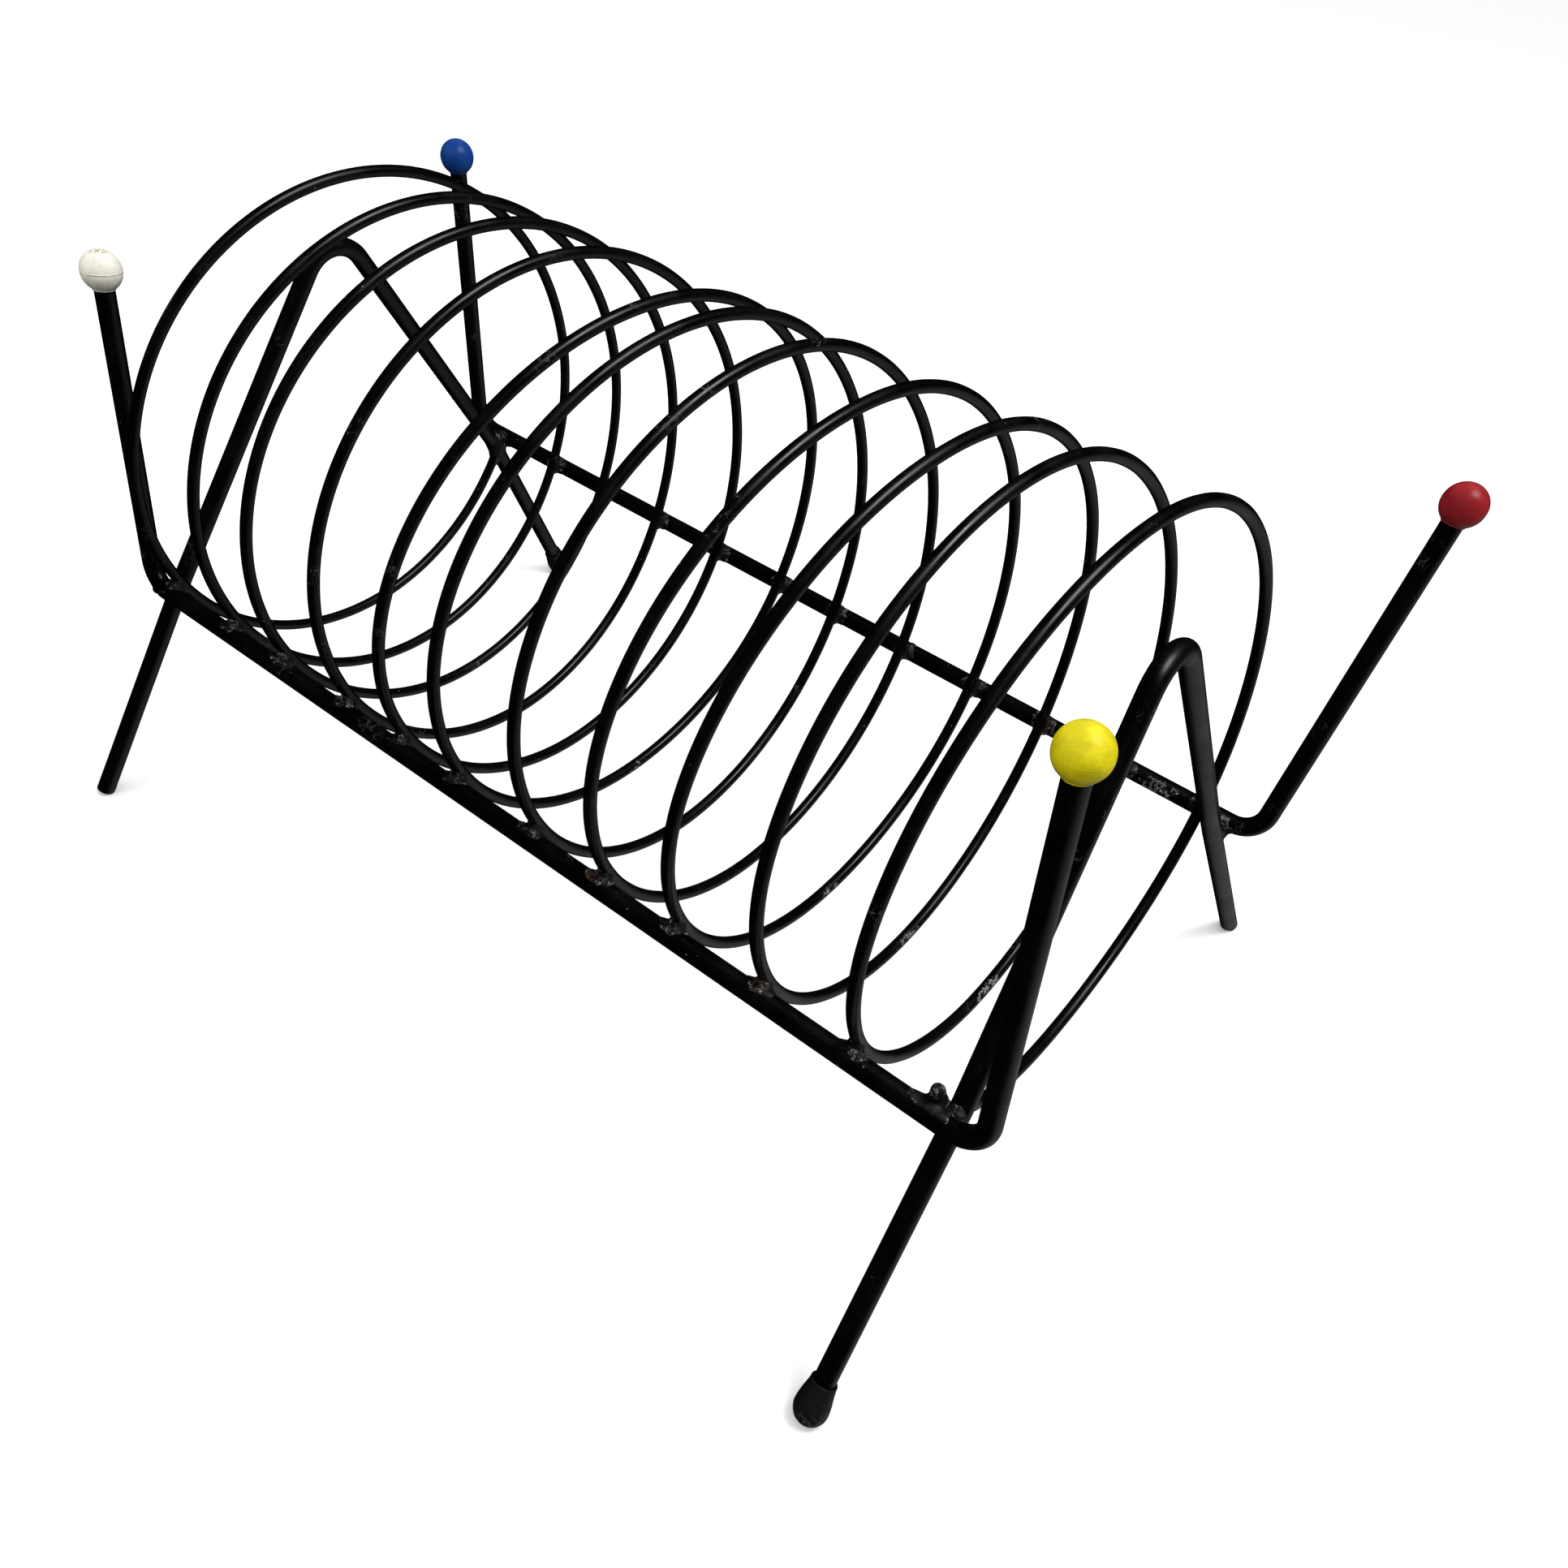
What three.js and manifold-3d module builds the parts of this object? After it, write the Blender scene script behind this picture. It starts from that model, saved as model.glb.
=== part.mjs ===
// A free-standing wire rack: one long coil of wire lies between two rails, and
// letters, records or toast stand in the slots between its turns. Each rail is a
// rod whose two ends are bent up into arms with a ball on each tip. A bent rod at
// each end makes a pair of splayed legs. Everything is welded together, apart from
// the push-on balls and the two slip-on rubber feet.
//
// Millimetres, +Z up. +X runs along the coil, and -Y is the front. The floor is Z = 0.

import * as THREE from 'three';
import { mergeVertices } from 'three/addons/utils/BufferGeometryUtils.js';
import Module from 'manifold-3d';

const wasm = await Module();
wasm.setup();

// ---- Driving dimensions ----

const ROD = 6;                  // diameter of the rails and the legs
const WIRE = 3.6;               // diameter of the coil's wire
const BALL = 12;                // diameter of the balls
const CLEARANCE = 0.3;          // gap between pieces that touch

const COIL_RADIUS = 84;         // to the centre of the wire, at the top and the bottom of a turn
const FRONT_RADIUS = 84.8;      // the same at the front, where the turns bulge a little
const COIL_HEIGHT = 117.3;      // of the coil's axis

// Where the wire meets each rail, from the first turn to the last. The rack was
// coiled and welded by hand, so its turns are uneven.
const WELDS = {
  rear: [-161, -131, -104, -74.5, -44, -14.2, 11.2, 40.6, 69.5, 97.2, 127.4, 154.7],
  front: [-153.4, -121.5, -95.5, -64, -38.5, -14, 18, 45, 71.5, 101, 130, 153.6],
};

// How far the top and the bottom of each turn lean past the middle of the two
// welds on either side.
const TOP_LEAN = [4, 4.7, 3.5, 2, 14, 4.6, 0, 4.2, 4, -5.8, -4.5];
const BOTTOM_LEAN = [-2, 0, 0, 0.5, -1, -3, 0, 0, -1, 1, 1.5, 0];

const FRONT_TRAVEL = 190;       // degrees round the axis, from straight behind and downwards
const WIRE_START = 6;           // degrees past the first rear weld
const WIRE_END = 4;             // degrees past the last front weld

const BEND_RADIUS = 9;          // of the bends between a rail and its arms
const APEX_RADIUS = 12.5;       // of the bend at the top of a pair of legs
const KNEE_RADIUS = 40;         // of the faint bend where a leg meets its rail
const LEG_LEAN = THREE.MathUtils.degToRad(34);  // of the legs from upright, at the rails

// Where each rail turns up into its arms, and where its balls are. The rack is
// slightly twisted, so the rails aren't quite level.
const RAILS = {
  front: {
    side: -1,
    corners: [[-162.5, -80.1, 75.9], [169.5, -78.2, 78.1]],
    balls: { white: [-167.3, -71.5, 178.3], yellow: [160.8, -74.5, 191.9] },
  },
  rear: {
    side: 1,
    corners: [[-178.8, 79.3, 78.6], [172.5, 78.2, 75.6]],
    balls: { blue: [-181.2, 76.1, 183.9], red: [181.4, 98, 186.7] },
  },
};

// Each pair of legs: its sharp top corner before bending, and for its front and
// rear leg where it crosses the rail (X) and where it meets the floor (X, Y). One
// leg of each pair wears a rubber foot.
const LEGS = {
  left: {
    apex: [-154, 0, 184],
    front: { railX: -158.7, floor: [-166.5, -114.5] },
    rear: { railX: -163, floor: [-165, 112] },
    footed: 'rear',
  },
  right: {
    apex: [150, -2.5, 182.5],
    front: { railX: 158.9, floor: [162, -122.5] },
    rear: { railX: 161, floor: [171, 122.5] },
    footed: 'front',
  },
};

// A ball's rod ends a little past its middle. Its neck is a thin sleeve on the rod.
const BALL_SEAT = 2;
const NECK_WALL = 0.5;
const NECK_LENGTH = 0.8;

// A rubber foot: a bulb that tapers to a sleeve, pressed slightly flat on the floor.
const FOOT = { length: 13, bulbRadius: 4.8, sleeveRadius: 3.9, sleeveStart: 9.4, sole: 3.2, flattened: 0.5 };
const BARE_END = 1;             // how much of a bare rod end has worn flat

// Half sizes of the weld beads: along the rail, across it, and through both bars.
const WIRE_BEAD = { along: 4.6, across: 4.2, thick: 2.6 };
const LEG_BEAD = { along: 5.2, across: 5.2, thick: 3 };
const HANGING_BEAD = { along: 4.6, across: 6.6, thick: 3.8 };
const HANG = 0.65;              // of the way from its rail to the wire's start

const ROD_SIDES = 12;
const WIRE_SIDES = 8;
const BALL_SIDES = 18;
const BALL_ROWS = 10;
const FOOT_SIDES = 16;
const FOOT_ROWS = 5;
const BEAD_SIDES = 8;
const BEAD_ROWS = 6;
const STEPS_PER_TURN = 30;
const STEPS_PER_BEND = 7;

// ---- Materials ----

function finish(name, color, roughness) {
  return new THREE.MeshStandardMaterial({ name, color, roughness, metalness: 0 });
}

const enamel = finish('black_enamel', 0x121212, 0.42);
const weldEnamel = finish('weld_enamel', 0x1c1a18, 0.7);
const rubber = finish('foot_rubber', 0x0d0d0d, 0.8);
const ballPlastic = {
  white: finish('ball_white', 0xe6e4d4, 0.4),
  yellow: finish('ball_yellow', 0xdcd21e, 0.35),
  blue: finish('ball_blue', 0x12397e, 0.35),
  red: finish('ball_red', 0x8e1722, 0.35),
};

// ---- Centre lines ----

// A rod bent at each inner corner, stepping only round its bends.
class BentRod extends THREE.Curve {
  constructor(corners, radii) {
    super();
    this.stations = [];
    const last = corners.length - 1;
    this.stations.push({ point: corners[0], tangent: direction(corners[0], corners[1]) });
    for (let i = 1; i < last; i += 1) {
      this.addBend(corners[i - 1], corners[i], corners[i + 1], radii[i - 1]);
    }
    this.stations.push({ point: corners[last], tangent: direction(corners[last - 1], corners[last]) });
    this.steps = this.stations.length - 1;
  }

  addBend(before, corner, after, radius) {
    const incoming = direction(before, corner);
    const outgoing = direction(corner, after);
    const turn = incoming.angleTo(outgoing);
    const setback = radius * Math.tan(turn / 2);
    const start = corner.clone().addScaledVector(incoming, -setback);
    const inward = outgoing.clone().addScaledVector(incoming, -outgoing.dot(incoming)).normalize();
    const centre = start.clone().addScaledVector(inward, radius);
    for (let step = 0; step <= STEPS_PER_BEND; step += 1) {
      const angle = (turn * step) / STEPS_PER_BEND;
      const point = centre.clone();
      point.addScaledVector(inward, -radius * Math.cos(angle));
      point.addScaledVector(incoming, radius * Math.sin(angle));
      const tangent = incoming.clone().multiplyScalar(Math.cos(angle));
      tangent.addScaledVector(inward, Math.sin(angle));
      this.stations.push({ point, tangent });
    }
  }

  getUtoTmapping(u) {
    return u;
  }

  getPoint(t) {
    return this.stations[Math.round(t * this.steps)].point.clone();
  }

  getTangent(t) {
    return this.stations[Math.round(t * this.steps)].tangent.clone();
  }
}

// The coil. The wire starts at the rear rail, runs down under the rack to the front
// rail, and then up over the top to the rear rail again, once for each turn. Travel
// is in degrees round the axis, from straight behind it and downwards at first. The
// wire just touches each rail that it crosses.
class CoilWire extends THREE.Curve {
  constructor() {
    super();
    this.stations = { x: [], radius: [] };
    WELDS.rear.forEach((rearX, turn) => {
      const frontX = WELDS.front[turn];
      const travel = 360 * turn;
      this.addCrossing(travel, 'rear', rearX);
      this.addStation(travel + 90, (rearX + frontX) / 2 + BOTTOM_LEAN[turn], COIL_RADIUS);
      this.addCrossing(travel, 'front', frontX);
      if (turn < TOP_LEAN.length) {
        const topX = (frontX + WELDS.rear[turn + 1]) / 2 + TOP_LEAN[turn];
        this.stations.radius.push({ travel: travel + FRONT_TRAVEL, value: FRONT_RADIUS });
        this.addStation(travel + 270, topX, COIL_RADIUS);
      }
    });
    this.start = this.stations.x[0].travel + WIRE_START;
    this.end = this.stations.x[this.stations.x.length - 1].travel + WIRE_END;
    this.steps = Math.round(((this.end - this.start) / 360) * STEPS_PER_TURN);
  }

  addStation(travel, x, radius) {
    this.stations.x.push({ travel, value: x });
    this.stations.radius.push({ travel, value: radius });
  }

  addCrossing(travel, railName, x) {
    const { y, z } = railAt(railName, x);
    const angle = THREE.MathUtils.radToDeg(Math.atan2(COIL_HEIGHT - z, y));
    const radius = Math.hypot(y, COIL_HEIGHT - z) - (ROD + WIRE) / 2 - CLEARANCE;
    this.addStation(travel + angle, x, radius);
  }

  // How fast x or the radius changes at a station: the slope of a parabola through
  // it and its two neighbours.
  slopeAt(i, key) {
    const here = this.stations[key][i];
    const before = this.stations[key][i - 1];
    const after = this.stations[key][i + 1];
    if (!before || !after) {
      return 0;
    }
    const spanBefore = here.travel - before.travel;
    const spanAfter = after.travel - here.travel;
    const slopeBefore = (here.value - before.value) / spanBefore;
    const slopeAfter = (after.value - here.value) / spanAfter;
    return (slopeBefore * spanAfter + slopeAfter * spanBefore) / (spanBefore + spanAfter);
  }

  // A smooth curve through the stations.
  valueAt(travel, key) {
    const stations = this.stations[key];
    let i = stations.findIndex((station) => station.travel > travel) - 1;
    if (i < 0) {
      i = stations.length - 2;
    }
    const here = stations[i];
    const next = stations[i + 1];
    const span = next.travel - here.travel;
    const u = (travel - here.travel) / span;
    const fromStart = (1 + 2 * u) * (1 - u) ** 2;
    const bow = this.slopeAt(i, key) * u * (1 - u) ** 2 - this.slopeAt(i + 1, key) * u ** 2 * (1 - u);
    return here.value * fromStart + next.value * (1 - fromStart) + span * bow;
  }

  getUtoTmapping(u) {
    return u;
  }

  getPoint(t) {
    const travel = this.start + (this.end - this.start) * t;
    const angle = THREE.MathUtils.degToRad(travel);
    const radius = this.valueAt(travel, 'radius');
    const y = radius * Math.cos(angle);
    const z = COIL_HEIGHT - radius * Math.sin(angle);
    return new THREE.Vector3(this.valueAt(travel, 'x'), y, z);
  }
}

function direction(from, to) {
  return to.clone().sub(from).normalize();
}

function railCorners(name) {
  return RAILS[name].corners.map((corner) => new THREE.Vector3(...corner));
}

// The centre of a rail's straight stretch at a distance X along the rack.
function railAt(name, x) {
  const [left, right] = railCorners(name);
  return left.clone().lerp(right, (x - left.x) / (right.x - left.x));
}

// ---- Solids ----

// A round bar along a centre line.
function bar(path, radius, sides) {
  const section = new THREE.Shape();
  for (let i = 0; i < sides; i += 1) {
    const angle = (2 * Math.PI * i) / sides;
    const corner = [radius * Math.cos(angle), radius * Math.sin(angle)];
    if (i === 0) {
      section.moveTo(...corner);
    } else {
      section.lineTo(...corner);
    }
  }
  section.closePath();
  return new THREE.ExtrudeGeometry(section, { steps: path.steps, bevelEnabled: false, extrudePath: path });
}

// A turned piece whose own +Y axis points along the axis given.
function turned(profile, sides, origin, axis) {
  const geometry = new THREE.LatheGeometry(profile, sides);
  const up = new THREE.Vector3(0, 1, 0);
  geometry.applyQuaternion(new THREE.Quaternion().setFromUnitVectors(up, axis));
  geometry.translate(origin.x, origin.y, origin.z);
  return geometry;
}

function toManifold(geometry) {
  const bare = new THREE.BufferGeometry();
  bare.setAttribute('position', geometry.getAttribute('position'));
  bare.setIndex(geometry.getIndex());
  const welded = mergeVertices(bare, 1e-4);
  const corners = welded.getIndex().array;
  const places = welded.getAttribute('position').array;
  const whole = [];
  for (let i = 0; i < corners.length; i += 3) {
    const [a, b, c] = corners.slice(i, i + 3);
    if (a !== b && b !== c && c !== a) {
      whole.push(a, b, c);
    }
  }
  const mesh = new wasm.Mesh({
    numProp: 3,
    vertProperties: new Float32Array(places),
    triVerts: new Uint32Array(whole),
  });
  return new wasm.Manifold(mesh);
}

function fromManifold(solid) {
  const mesh = solid.getMesh();
  const geometry = new THREE.BufferGeometry();
  geometry.setAttribute('position', new THREE.BufferAttribute(new Float32Array(mesh.vertProperties), 3));
  geometry.setIndex(new THREE.BufferAttribute(new Uint32Array(mesh.triVerts), 1));
  return geometry;
}

// Cuts off whatever is below the floor, which leaves a small flat to stand on.
function standOnFloor(geometry) {
  const room = 600;             // wider and deeper than the whole rack
  const below = new THREE.BoxGeometry(room, room, room);
  below.translate(0, 0, -room / 2);
  return fromManifold(toManifold(geometry).subtract(toManifold(below)));
}

// ---- Rails ----

function railPath(name) {
  const corners = railCorners(name);
  const balls = Object.values(RAILS[name].balls).map((place) => new THREE.Vector3(...place));
  const tips = balls.map((ball, end) => {
    const outward = direction(corners[end], ball);
    return ball.clone().addScaledVector(outward, BALL_SEAT - CLEARANCE);
  });
  return new BentRod([tips[0], corners[0], corners[1], tips[1]], [BEND_RADIUS, BEND_RADIUS]);
}

// ---- Legs ----

// A leg passes just inside its rail.
function legLine(pair, name) {
  const knee = railAt(name, pair[name].railX);
  knee.y -= (RAILS[name].side * (ROD + CLEARANCE)) / Math.cos(LEG_LEAN);
  const floor = new THREE.Vector3(...pair[name].floor, 0);
  return { knee, floor, down: direction(knee, floor) };
}

// The lowest point of the rod's centre line: inside a rubber foot, or where the
// square end of a bare rod reaches the floor.
function legEnd(pair, name) {
  const { floor, down } = legLine(pair, name);
  if (pair.footed === name) {
    return soleOf(pair, name).addScaledVector(down, -(FOOT.sole + CLEARANCE));
  }
  const tilt = Math.sqrt(1 - down.z ** 2);
  const height = (ROD / 2) * tilt - BARE_END;
  return floor.clone().addScaledVector(down, height / down.z);
}

// The closed end of a rubber foot, on the centre line of its leg.
function soleOf(pair, name) {
  const { floor, down } = legLine(pair, name);
  const centreHeight = FOOT.bulbRadius - FOOT.flattened;
  const centre = floor.clone().addScaledVector(down, centreHeight / down.z);
  return centre.addScaledVector(down, FOOT.bulbRadius);
}

function legPath(pair) {
  const corners = [
    legEnd(pair, 'front'),
    legLine(pair, 'front').knee,
    new THREE.Vector3(...pair.apex),
    legLine(pair, 'rear').knee,
    legEnd(pair, 'rear'),
  ];
  return new BentRod(corners, [KNEE_RADIUS, APEX_RADIUS, KNEE_RADIUS]);
}

// ---- Balls and feet ----

// A nearly round ball with a short neck where the rod goes in.
function ballGeometry(railName, end, colour) {
  const corner = railCorners(railName)[end];
  const centre = new THREE.Vector3(...RAILS[railName].balls[colour]);
  const radius = BALL / 2;
  const bore = ROD / 2 + CLEARANCE;
  const neckRadius = bore + NECK_WALL;
  const neckAngle = Math.asin(neckRadius / radius);
  const profile = [new THREE.Vector2(0, radius)];
  for (let row = 1; row <= BALL_ROWS; row += 1) {
    const angle = ((Math.PI - neckAngle) * row) / BALL_ROWS;
    profile.push(new THREE.Vector2(radius * Math.sin(angle), radius * Math.cos(angle)));
  }
  const neckEnd = -radius * Math.cos(neckAngle) - NECK_LENGTH;
  profile.push(new THREE.Vector2(neckRadius, neckEnd));
  profile.push(new THREE.Vector2(bore, neckEnd));
  profile.push(new THREE.Vector2(bore, BALL_SEAT));
  profile.push(new THREE.Vector2(0, BALL_SEAT));
  return turned(profile.reverse(), BALL_SIDES, centre, direction(corner, centre));
}

// A slip-on rubber foot: a rounded bulb that narrows to a short sleeve.
function footGeometry(pair, name) {
  const { down } = legLine(pair, name);
  const bore = ROD / 2 + CLEARANCE;
  const profile = [new THREE.Vector2(0, 0)];
  for (let row = 1; row <= FOOT_ROWS; row += 1) {
    const angle = ((Math.PI / 2) * row) / FOOT_ROWS;
    profile.push(new THREE.Vector2(
      FOOT.bulbRadius * Math.sin(angle),
      FOOT.bulbRadius * (1 - Math.cos(angle)),
    ));
  }
  profile.push(new THREE.Vector2(FOOT.sleeveRadius, FOOT.sleeveStart));
  profile.push(new THREE.Vector2(FOOT.sleeveRadius, FOOT.length));
  profile.push(new THREE.Vector2(bore, FOOT.length));
  profile.push(new THREE.Vector2(bore, FOOT.sole));
  profile.push(new THREE.Vector2(0, FOOT.sole));
  return standOnFloor(turned(profile, FOOT_SIDES, soleOf(pair, name), down.clone().negate()));
}

// ---- Welds ----

// A flattened lump, thin along the axis given.
function lumpGeometry(place, axis, size) {
  const lump = new THREE.SphereGeometry(1, BEAD_SIDES, BEAD_ROWS);
  lump.scale(size.along, size.across, size.thick);
  const thickness = new THREE.Vector3(0, 0, 1);
  lump.applyQuaternion(new THREE.Quaternion().setFromUnitVectors(thickness, axis));
  return lump.translate(place.x, place.y, place.z);
}

// The bead of a weld fills the corner round the place where two bars cross. It is
// a lump less whatever is there already: the bars and the beads laid before it.
function weldGeometry(place, axis, size) {
  const bead = toManifold(lumpGeometry(place, axis, size)).subtract(occupied);
  const pieces = bead.decompose();
  pieces.sort((a, b) => b.volume() - a.volume());
  const grown = {
    along: size.along + CLEARANCE,
    across: size.across + CLEARANCE,
    thick: size.thick + CLEARANCE,
  };
  occupied = occupied.add(toManifold(lumpGeometry(place, axis, grown)));
  return fromManifold(pieces[0]);
}

// ---- The rack ----

const rack = new THREE.Group();

function add(name, geometry, material) {
  const mesh = new THREE.Mesh(geometry, material);
  mesh.name = name;
  rack.add(mesh);
}

const coil = new CoilWire();
add('coil', bar(coil, WIRE / 2, WIRE_SIDES), enamel);

for (const [name, rail] of Object.entries(RAILS)) {
  add(`${name}_rail`, bar(railPath(name), ROD / 2, ROD_SIDES), enamel);
  Object.keys(rail.balls).forEach((colour, end) => {
    add(`${colour}_ball`, ballGeometry(name, end, colour), ballPlastic[colour]);
  });
}

for (const [name, pair] of Object.entries(LEGS)) {
  add(`${name}_legs`, standOnFloor(bar(legPath(pair), ROD / 2, ROD_SIDES)), enamel);
  add(`${name}_${pair.footed}_foot`, footGeometry(pair, pair.footed), rubber);
}

// Every bar, grown by the clearance, is cut out of the welds.
let occupied = toManifold(bar(coil, WIRE / 2 + CLEARANCE, WIRE_SIDES));
const rods = [...Object.keys(RAILS).map(railPath), ...Object.values(LEGS).map(legPath)];
for (const rod of rods) {
  occupied = occupied.add(toManifold(bar(rod, ROD / 2 + CLEARANCE, ROD_SIDES)));
}

// Each leg is welded to the inside of its rail.
for (const [name, pair] of Object.entries(LEGS)) {
  for (const [railName, { side }] of Object.entries(RAILS)) {
    const inward = new THREE.Vector3(0, -side * Math.cos(LEG_LEAN), -Math.sin(LEG_LEAN));
    const place = railAt(railName, pair[railName].railX);
    place.addScaledVector(inward, (ROD + CLEARANCE) / 2);
    add(`${name}_${railName}_leg_weld`, weldGeometry(place, inward, LEG_BEAD), weldEnamel);
  }
}

// The wire is welded to each rail at every crossing.
for (const railName of Object.keys(RAILS)) {
  WELDS[railName].forEach((x, i) => {
    const place = railAt(railName, x);
    const inward = direction(place, new THREE.Vector3(x, 0, COIL_HEIGHT));
    place.addScaledVector(inward, (ROD + CLEARANCE) / 2);
    const number = String(i + 1).padStart(2, '0');
    // The wire starts below its first crossing, so its first bead hangs down to meet it.
    const hanging = railName === 'rear' && i === 0;
    if (hanging) {
      place.lerp(coil.getPoint(0), HANG);
    }
    const size = hanging ? HANGING_BEAD : WIRE_BEAD;
    add(`${railName}_weld_${number}`, weldGeometry(place, inward, size), weldEnamel);
  });
}

export default rack;
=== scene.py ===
import math

import bmesh
import bpy
import numpy as np
from mathutils import Matrix, Vector, noise


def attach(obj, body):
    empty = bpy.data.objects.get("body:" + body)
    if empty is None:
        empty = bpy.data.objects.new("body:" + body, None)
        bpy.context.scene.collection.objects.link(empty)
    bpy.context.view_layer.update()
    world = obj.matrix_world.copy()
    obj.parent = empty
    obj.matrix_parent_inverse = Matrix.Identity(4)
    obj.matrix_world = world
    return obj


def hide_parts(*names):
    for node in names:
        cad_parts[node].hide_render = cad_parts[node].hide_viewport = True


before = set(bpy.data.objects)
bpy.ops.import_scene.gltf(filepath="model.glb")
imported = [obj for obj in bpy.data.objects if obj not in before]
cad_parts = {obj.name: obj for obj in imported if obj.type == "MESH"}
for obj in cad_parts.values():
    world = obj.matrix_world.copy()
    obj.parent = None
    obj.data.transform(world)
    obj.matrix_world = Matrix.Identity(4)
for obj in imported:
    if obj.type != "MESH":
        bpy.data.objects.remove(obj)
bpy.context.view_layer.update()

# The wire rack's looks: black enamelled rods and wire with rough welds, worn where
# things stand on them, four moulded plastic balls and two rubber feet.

# ---- Sizes, in millimetres. They are the CAD model's own, apart from the foot's rim ----

MM = 0.001
ROD_RADIUS = 3.0
WIRE_RADIUS = 1.8
BALL_RADIUS = 6.0
CLEARANCE = 0.3

COIL_RADIUS = 84.0
FRONT_RADIUS = 84.8
COIL_HEIGHT = 117.3
WELDS = {
    "rear": [-161, -131, -104, -74.5, -44, -14.2, 11.2, 40.6, 69.5, 97.2, 127.4, 154.7],
    "front": [-153.4, -121.5, -95.5, -64, -38.5, -14, 18, 45, 71.5, 101, 130, 153.6],
}
TOP_LEAN = [4, 4.7, 3.5, 2, 14, 4.6, 0, 4.2, 4, -5.8, -4.5]
BOTTOM_LEAN = [-2, 0, 0, 0.5, -1, -3, 0, 0, -1, 1, 1.5, 0]
FRONT_TRAVEL = 190.0            # degrees round the axis, from straight behind and downwards
WIRE_START = 6.0                # degrees past the first rear weld
WIRE_END = 4.0                  # degrees past the last front weld
WIRE_SUNK = 1.2                 # degrees by which its start is sunk into its first bead

BEND_RADIUS = 9.0
APEX_RADIUS = 12.5
KNEE_RADIUS = 40.0
LEG_LEAN = math.radians(34)
BALL_SEAT = 2.0                 # how far past the ball's centre the rod goes

RAILS = {
    "front": {"side": -1, "corners": [(-162.5, -80.1, 75.9), (169.5, -78.2, 78.1)],
              "balls": {"white": (-167.3, -71.5, 178.3), "yellow": (160.8, -74.5, 191.9)}},
    "rear": {"side": 1, "corners": [(-178.8, 79.3, 78.6), (172.5, 78.2, 75.6)],
             "balls": {"blue": (-181.2, 76.1, 183.9), "red": (181.4, 98, 186.7)}},
}
LEGS = {
    "left": {"apex": (-154, 0, 184), "footed": "rear",
             "front": {"rail_x": -158.7, "floor": (-166.5, -114.5)},
             "rear": {"rail_x": -163, "floor": (-165, 112)}},
    "right": {"apex": (150, -2.5, 182.5), "footed": "front",
              "front": {"rail_x": 158.9, "floor": (162, -122.5)},
              "rear": {"rail_x": 161, "floor": (171, 122.5)}},
}
FOOT_LENGTH = 13.0
FOOT_BULB = 4.8
FOOT_RIM = 3.5                  # slimmer than the CAD model's sleeve, as stretched rubber is
FOOT_SOLE = 3.2
FLATTENED = 0.5
BARE_END = 1.0
SEAM_RIDGE = 0.05               # of the white ball, which was moulded roughly
FAINT_RIDGE = 0.012             # of the others
SNUG = 0.02                     # how far a bore is sunk into the rod in it

# How finely the bars and the turned shapes are divided.
WIRE_SIDES = 16
COIL_STEPS = 3600
ROD_SIDES = 28
BALL_SIDES = 72
FOOT_SIDES = 56

# Light from above and below the horizon, and what glossy surfaces see instead: a dim
# room with one pale patch.
WORLD_ABOVE = 1.0
WORLD_BELOW = 0.08
MIRRORED_DIM = 0.004
MIRRORED_PATCH = 0.32
PATCH_DIRECTION = (0.62, 0.35, -0.70)

# The turns whose lowest point is worn by what stood there, and how badly.
WORN_TURNS = {2: 0.75, 4: 0.6, 5: 0.8, 6: 0.6, 8: 1.0, 9: 1.15, 10: 1.5}


# ---- Centre lines ----

def unit(v):
    return v / np.linalg.norm(v)


def bend(before, corner, after, radius, steps=24):
    """The arc that rounds a corner between two straight stretches."""
    incoming = unit(corner - before)
    outgoing = unit(after - corner)
    turn = math.acos(np.clip(incoming @ outgoing, -1, 1))
    start = corner - incoming * radius * math.tan(turn / 2)
    inward = unit(outgoing - incoming * (outgoing @ incoming))
    centre = start + inward * radius
    angles = np.linspace(0, turn, steps)[:, None]
    return centre - inward * radius * np.cos(angles) + incoming * radius * np.sin(angles)


def bent_rod(corners, radii, spacing=1.2):
    """Evenly spaced points along straight stretches joined by round bends."""
    corners = [np.array(corner, float) for corner in corners]
    stretches = [corners[:1]]
    for i, radius in enumerate(radii, start=1):
        stretches.append(bend(corners[i - 1], corners[i], corners[i + 1], radius))
    stretches.append(corners[-1:])
    line = np.concatenate(stretches)
    along = np.concatenate([[0], np.cumsum(np.linalg.norm(np.diff(line, axis=0), axis=1))])
    places = np.linspace(0, along[-1], int(along[-1] / spacing))
    return np.stack([np.interp(places, along, line[:, axis]) for axis in range(3)], axis=1)


def rail_corners(name):
    return [np.array(corner, float) for corner in RAILS[name]["corners"]]


def rail_at(name, x):
    """The centre of a rail's straight stretch at a distance x along the rack."""
    left, right = rail_corners(name)
    return left + (right - left) * (x - left[0]) / (right[0] - left[0])


def crossing(name, x):
    """(travel within the turn, radius) where the wire just touches a rail."""
    _, y, z = rail_at(name, x)
    angle = math.degrees(math.atan2(COIL_HEIGHT - z, y))
    return angle, math.hypot(y, COIL_HEIGHT - z) - ROD_RADIUS - WIRE_RADIUS - CLEARANCE


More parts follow.
